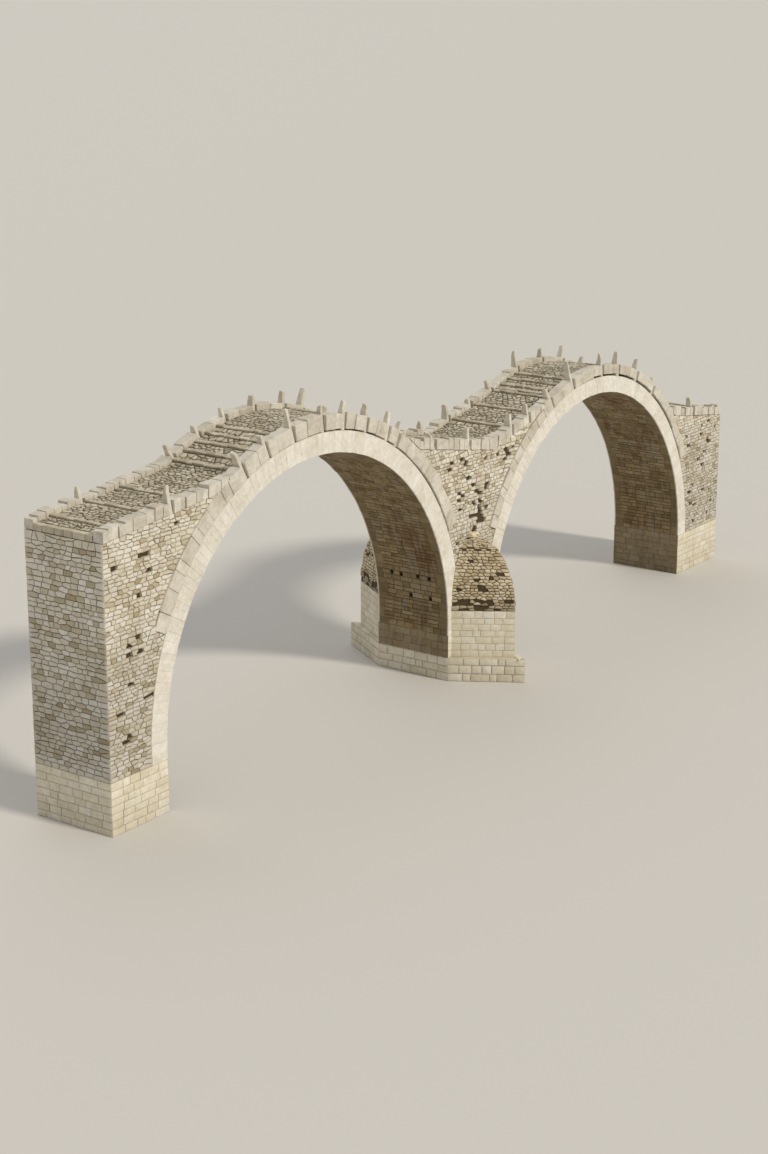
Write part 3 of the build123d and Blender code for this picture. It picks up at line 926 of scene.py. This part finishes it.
def kerb_blocks(face, side):
    """The edge stones along the slopes."""
    kerb = solids_of([face + "_kerb"])
    middle = side * (PAVED_HALF + EDGE_FACE) / 2

    def on_kerb(x, share, y):
        top = kerb.ray_cast(Vector((x, middle, ABOVE_ALL)), Vector((0, 0, -1)))[0]
        bottom = kerb.ray_cast(Vector((x, middle, -1)), Vector((0, 0, 1)))[0]
        return x, y, bottom.z + share * (top.z - bottom.z)

    blocks = []
    for corners in islands(face + "_kerb"):
        for start, end in pairs(cuts(corners[:, 0].min() + 0.008, corners[:, 0].max() - 0.008, 0.32)):
            outer = EDGE_FACE + between(-0.04, 0.014)
            blocks.append(brick(on_kerb, (start + 0.01, end - 0.01), (0.02, 1 + between(-0.25, 0.12)),
                                (side * (PAVED_HALF + 0.002), side * outer)))
    return blocks


def upright_slab(corners, side):
    """A split slab on the line of a plain one: it tapers, leans a little and ends unevenly."""
    flat = corners[:, [0, 2]]
    middle = flat.mean(0)
    ways = np.linalg.eigh(np.cov((flat - middle).T))[1]
    tall = ways[:, 1] * np.sign(ways[1, 1])
    broad = np.array((tall[1], -tall[0]))
    heights = (flat - middle) @ tall
    widths = (flat - middle) @ broad
    centre = (widths.min() + widths.max()) / 2
    half = np.ptp(widths) / 2
    lean = between(-0.06, 0.06)
    narrow = between(0.55, 0.9)
    inner_top, outer_top = between(0.06, 0.15), between(0.05, 0.13)
    slope = between(-0.09, 0.09)
    levels = []
    for share in (0.0, 0.45, 0.78, 1.0):
        level = []
        rise = heights.min() + share * (np.ptp(heights) - abs(slope) / 2)
        thick = 0.92 * half * (1 - (1 - narrow) * share ** 3)
        inner = PAVED_HALF + 0.03 + inner_top * share
        outer = EDGE_FACE - 0.04 - outer_top * share
        for across, y, tip in ((-1, inner, 0.5), (1, inner, 0.5), (1, outer, -0.5), (-1, outer, -0.5)):
            slip = centre + lean * share ** 2 + across * thick * between(0.84, 1.0)
            ragged = between(-0.03, 0.0) * share + tip * slope * share ** 4
            point = middle + (rise + ragged) * tall + slip * broad
            level.append((point[0], side * (y + 0.03 * between(-1, 0)), point[1]))
        levels.append(level)
    return levels


for face, side in FACES:
    build_up(f"{face}_kerb_stones", kerb_blocks(face, side), "kerb_stone", HOOD_STONE, (face + "_kerb",),
             worn=0.022, roughness=0.05)
    for arch in ARCHES:
        node = f"{arch.name}_hood_{face}"
        build_up(node + "_stones", hood_blocks(arch, face, side), "hood_stone", HOOD_STONE, (node,))
        node = f"{arch.name}_upright_stones_{face}"
        slabs = [upright_slab(corners, side) for corners in islands(node)]
        build_up(node + "_slabs", slabs, "upright_stone", SLAB_STONE, (node,), worn=0.014, roughness=0.045)


# The deck

def step_rows(node):
    """Rows of rough stones across the paving, and where they lie along the deck."""
    blocks = []
    runs = []
    for corners in islands(node):
        run = np.interp(corners[:, 0].mean(), DECK_X, DECK_RUN)
        runs.append(run)
        for a, b in pairs(cuts(0.01 - PAVED_HALF, PAVED_HALF - 0.01, 0.3, looseness=0.4)):
            near, far = run - between(0.05, 0.08), run + between(0.06, 0.1)
            blocks.append(brick(on_deck, (a + 0.004, b - 0.004), (near, far),
                                (-0.05, between(0.06, 0.1)), 0.009))
    return blocks, runs


def cobbles(start, end, rows):
    """Fitted cobbles in the bays between the step rows."""
    outlines = []
    stops = sorted(run for run in rows if start < run < end)
    # The bays stop short of each row, so that the dark grit in the gap paints the shade beside it.
    for bay_start, bay_end in zip([start + 0.01] + [run + 0.09 for run in stops],
                                  [run - 0.1 for run in stops] + [end - 0.01]):
        region = loop_region(rectangle(0.01 - PAVED_HALF, PAVED_HALF - 0.01, bay_start, bay_end))
        outlines += rubble(region, length=0.21, height=0.15, looseness=0.3, joint=0.024)[0]
    return placed(outlines, on_deck, (0, 0, FAR_OFF))


valley_run = np.interp(VALLEY_X, DECK_X, DECK_RUN)
reaches = {"main": (SILL_LENGTH, valley_run), "right": (valley_run, DECK_RUN[-1] - SILL_LENGTH)}
for reach, (start, end) in reaches.items():
    blocks, runs = step_rows(reach + "_step_rows")
    build_up(reach + "_row_stones", blocks, "step_stone", ROW_STONE, (reach + "_step_rows",), worn=0.014)
    lay(reach + "_cobbles", cobbles(start, end, runs), "cobble_paving", COBBLE, sink=0.02, stand=0.0,
        unevenness=0.024, arris=0.012, crown=0.008, roughness=0.024)


# Pier, abutments and the plain ends

def cap_stones(node, side):
    """Rubble laid up both sides of a cap, in courses that follow its curve."""
    cap = solids_of([node])
    levels = np.linspace(EAVE + 0.004, high(node).z - 0.03, 14)
    profile = []
    for z in levels:
        flank = cap.ray_cast(Vector((PIER_X + FAR_OFF, side * (HALF_WIDTH + 0.002), z)), Vector((-1, 0, 0)))
        nose = cap.ray_cast(Vector((PIER_X, side * FAR_OFF, z)), Vector((0, -side, 0)))
        profile.append((flank[0].x - PIER_X, abs(nose[0].y) - HALF_WIDTH))
    widths, depths = np.array(profile).T
    runs = np.concatenate([[0], np.cumsum(np.hypot(np.diff(depths), np.diff(levels)))])
    spans = np.hypot(widths, depths)
    border = [(-0.015, 0)] + list(zip(spans, runs)) + [(-0.015, run) for run in runs[:0:-1]]
    stones = []
    for hand in (-1, 1):
        def on_cap(u, v):
            share = u / np.interp(v, runs, spans)
            x = PIER_X + hand * share * np.interp(v, runs, widths)
            y = side * (HALF_WIDTH + (1 - share) * np.interp(v, runs, depths))
            return x, y, np.interp(v, runs, levels)

        outlines = rubble(loop_region(border), length=0.21, height=0.112, squareness=1.9, margin=0.03,
                          gone=lambda u, v: EAVE_LOSS if v < EATEN_HEIGHT else CAP_LOSS)[0]
        eye = (PIER_X + hand * FAR_OFF, side * FAR_OFF * widths[0] / depths[0], FAR_OFF / 2)
        stones += placed(outlines, on_cap, eye)
    return stones


def prow(node, side):
    """The plan of a nose as wide and as long as a node, from the wall out to its tip and back."""
    half = high(node).x - PIER_X
    reach = high(node).y - HALF_WIDTH
    plan = [(PIER_X - half, -HALF_WIDTH), (PIER_X, -HALF_WIDTH - reach), (PIER_X + half, -HALF_WIDTH)]
    return plan if side < 0 else [(x, -y) for x, y in plan[::-1]]


def under_arch(corners, eye):
    """Whether a stone of a support lies on its side under an arch."""
    return abs(eye[0]) > FAR_OFF / 2 and LEFT_END + 1 < corners[0][0] < RIGHT_END - 1


ledge = []
for face, side in FACES:
    nose = prow("back_cutwater", side)
    lay(f"{face}_cutwater_stones", faced(nose, FOOTING_TOP, EAVE, 0.25, 0.42, 0.008), "base_stone",
        BASE_STONE, arris=0.005, crown=0.002, unevenness=0.008)
    node = f"{face}_cutwater_cap"
    lay(node + "_stones", cap_stones(node, side), "cap_rubble", CAP_STONE, stand=0.006, unevenness=0.03,
        arris=0.009, crown=0.006, roughness=0.03)
    top = high(node).z
    crest = brick(lambda x, y, z: (PIER_X + x, side * (HALF_WIDTH + y), top + z), (-0.22, 0.22),
                  (-0.02, 0.2), (-0.08, 0.06), 0.02)
    build_up(node + "_crest", [crest], "cap_rubble", CAP_STONE, worn=0.03)
    band = loop_region(prow("pier_footing", side) + nose[::-1])
    outlines = rubble(band, length=0.45, height=0.3, joint=0.02)[0]
    ledge += placed(outlines, lambda u, v: (u, v, FOOTING_TOP), (PIER_X, 0, FAR_OFF))

plan = prow("pier_footing", -1) + prow("pier_footing", 1)
footing_stones = faced(plan + plan[:1], 0, FOOTING_TOP, 0.3, 0.55, 0.016)
lay("pier_footing_stones", footing_stones + ledge, "base_stone", BASE_STONE, arris=0.01, crown=0.006,
    roughness=0.025)

for node in ("pier_shaft", "left_abutment", "right_abutment"):
    plan = rectangle(low(node).x, high(node).x, -HALF_WIDTH, HALF_WIDTH)
    stones = faced(plan + plan[:1], low(node).z, SPRINGING, 0.26, 0.5)
    # Stones on the sides under the arches take the darker copy of the stone, painted shade.
    for title, material, shade in (("", BASE_STONE, False), ("_shaded", SHADED_STONE, True)):
        chosen = [stone for stone in stones if under_arch(*stone) == shade]
        lay(f"{node}{title}_stones", chosen, "base_stone", material)

for name, hand, x, run in (("left", -1, LEFT_END, 0), ("right", 1, RIGHT_END, DECK_RUN[-1])):
    top = on_deck(0, run)[2]
    end = loop_region(rectangle(-HALF_WIDTH - CORNER, HALF_WIDTH + CORNER, SPRINGING, top - 0.2))
    outlines = rubble(end, length=0.34, height=0.16, squareness=2.6, looseness=0.11, joint=0.014)[0]
    stones = placed(outlines, lambda y, z: (x, y, z), (hand * FAR_OFF, 0, 0))
    lay(f"{name}_end_stones", stones, "spandrel_rubble", WALL_STONE, arris=0.008, roughness=0.02)
    sill = [brick(lambda *place: place, (x + CORNER * hand, x - SILL_LENGTH * hand),
                  (a + 0.004, b - 0.004), (top - 0.19, top + 0.03), 0.006)
            for a, b in pairs(cuts(-PAVED_HALF, PAVED_HALF, 0.4))]
    build_up(f"{name}_end_sill", sill, "step_stone", ROW_STONE)


# Floor, light and camera
FLOOR_HALF = 3000
matt = set_up(bpy.data.materials.new("matt_floor"), use_nodes=True)
inputs = matt.node_tree.nodes["Principled BSDF"].inputs
inputs["Base Color"].default_value = linear("#d5d3cf")
inputs["Roughness"].default_value = 0.9
corners = [(x, y, 0) for x, y in rectangle(-FLOOR_HALF, FLOOR_HALF, -FLOOR_HALF, FLOOR_HALF)]
floor_mesh = bpy.data.meshes.new("floor")
floor_mesh.from_pydata(corners, [], [(0, 1, 2, 3)])
floor_mesh.materials.append(matt)
floor = new_object("floor", floor_mesh)

world = set_up(bpy.data.worlds.new("studio"), use_nodes=True)
tree = world.node_tree
tree.nodes.clear()
ambient = add(tree, "ShaderNodeBackground", {"Color": linear("#f5f3ef"), "Strength": 0.5})
backdrop = add(tree, "ShaderNodeBackground", {"Color": linear("#cbc8c1"), "Strength": 1.0})
path = add(tree, "ShaderNodeLightPath")
sky = add(tree, "ShaderNodeMixShader", {0: path.outputs["Is Camera Ray"], 1: ambient, 2: backdrop})
add(tree, "ShaderNodeOutputWorld", {"Surface": sky})
bpy.context.scene.world = world

for name, way, energy, spread, colour in (("key", (0.06, -0.8, 0.6), 1.9, 7, "#fff6e6"),
                                          ("fill", (0.4, 0.7, 0.6), 0.5, 60, "#fdfdff")):
    sun = set_up(bpy.data.lights.new(name, "SUN"), energy=energy, angle=math.radians(spread),
                 color=linear(colour)[:3])
    new_object(name, sun).rotation_euler = Vector(way).to_track_quat("Z", "Y").to_euler()

CAMERA_PLACE = Vector((-63.206, -42.907, 25.243))
AIM = Vector((-3.5, 0.0, 4.2))
PHOTO_WIDTH = 768
FOCAL_PIXELS = 2100
SENSOR_WIDTH = 36
camera = set_up(bpy.data.cameras.new("camera"), sensor_fit="HORIZONTAL", sensor_width=SENSOR_WIDTH,
                lens=FOCAL_PIXELS * SENSOR_WIDTH / PHOTO_WIDTH, clip_end=2 * FLOOR_HALF)
viewer = set_up(new_object("camera", camera), location=CAMERA_PLACE,
                rotation_euler=(AIM - CAMERA_PLACE).to_track_quat("-Z", "Y").to_euler())
bpy.context.scene.camera = viewer
bpy.context.scene.view_settings.view_transform = "Standard"
